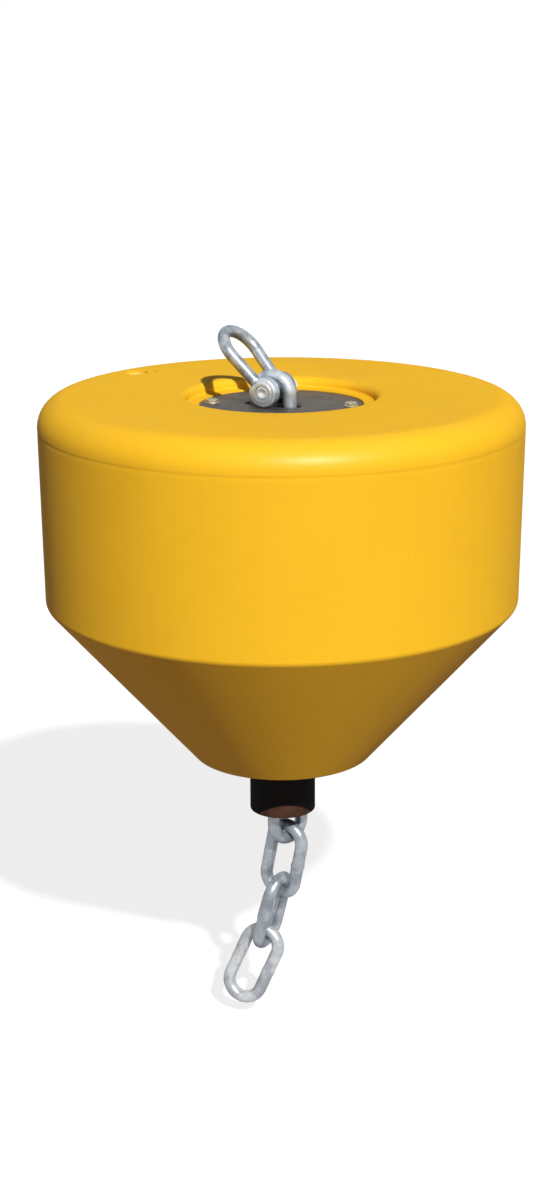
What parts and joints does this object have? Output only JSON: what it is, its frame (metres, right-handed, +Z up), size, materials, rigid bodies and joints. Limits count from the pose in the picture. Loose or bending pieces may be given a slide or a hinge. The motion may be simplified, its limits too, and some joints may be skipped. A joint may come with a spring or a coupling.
{
  "type": "through-chain mooring buoy",
  "caption": "Yellow foam filled mooring buoy with a recessed steel top plate, a bow shackle on a through chain, a chafe hose and a hanging chain tail.",
  "frame": {"origin": "on the float's axis at its working waterline, which is mount waterline", "axes": "+Z up along the float's axis, -Y towards the side seen in the picture"},
  "size_m": [0.7988, 0.7988, 1.219],
  "materials": {
    "float_skin": "yellow rotomoulded polyethylene, satin gloss, light scuffs",
    "plug": "darker yellow moulded plug",
    "vent": "dark vent plug",
    "hose_rubber": "black chafe hose",
    "plate_steel": "galvanised plate, dull grey",
    "bolt_steel": "zinc plated hexagon bolts",
    "chain_zinc": "hot dip galvanised chain",
    "shackle_zinc": "hot dip galvanised forging",
    "pin_zinc": "hot dip galvanised screw pin"
  },
  "bodies": {
    "float": {"float_body": "float_skin", "filler_plug": "plug", "vent_plug": "vent", "chafe_hose": "hose_rubber", "top_plate": "plate_steel", "plate_bolts": "bolt_steel", "top_link": "chain_zinc", "inner_chain": "chain_zinc", "chain_link_1": "chain_zinc"},
    "shackle": {"shackle_bow": "shackle_zinc", "shackle_pin": "pin_zinc"},
    "link_2": {"chain_link_2": "chain_zinc"},
    "link_3": {"chain_link_3": "chain_zinc"},
    "link_4": {"chain_link_4": "chain_zinc"}
  },
  "joints": [
    {"name": "shackle_swing", "type": "hinge", "parent": "float", "child": "shackle", "pos_m": [-0.014, 0, 0.2573], "axis": [0.4695, 0.8829, 0], "range_deg": [-47, 133]},
    {"name": "link_2_swing", "type": "hinge", "parent": "float", "child": "link_2", "pos_m": [0.00955, -0.00001, -0.52986], "axis": [0.7656, 0.643, 0.0227], "range_deg": [-60, 60]},
    {"name": "link_3_swing", "type": "hinge", "parent": "link_2", "child": "link_3", "pos_m": [-0.00904, 0.02072, -0.63887], "axis": [0.7827, -0.5733, -0.2424], "range_deg": [-60, 60]},
    {"name": "link_4_swing", "type": "hinge", "parent": "link_3", "child": "link_4", "pos_m": [-0.03279, 0.04407, -0.74635], "axis": [0.4883, 0.8689, 0.0809], "range_deg": [-60, 60]}
  ]
}
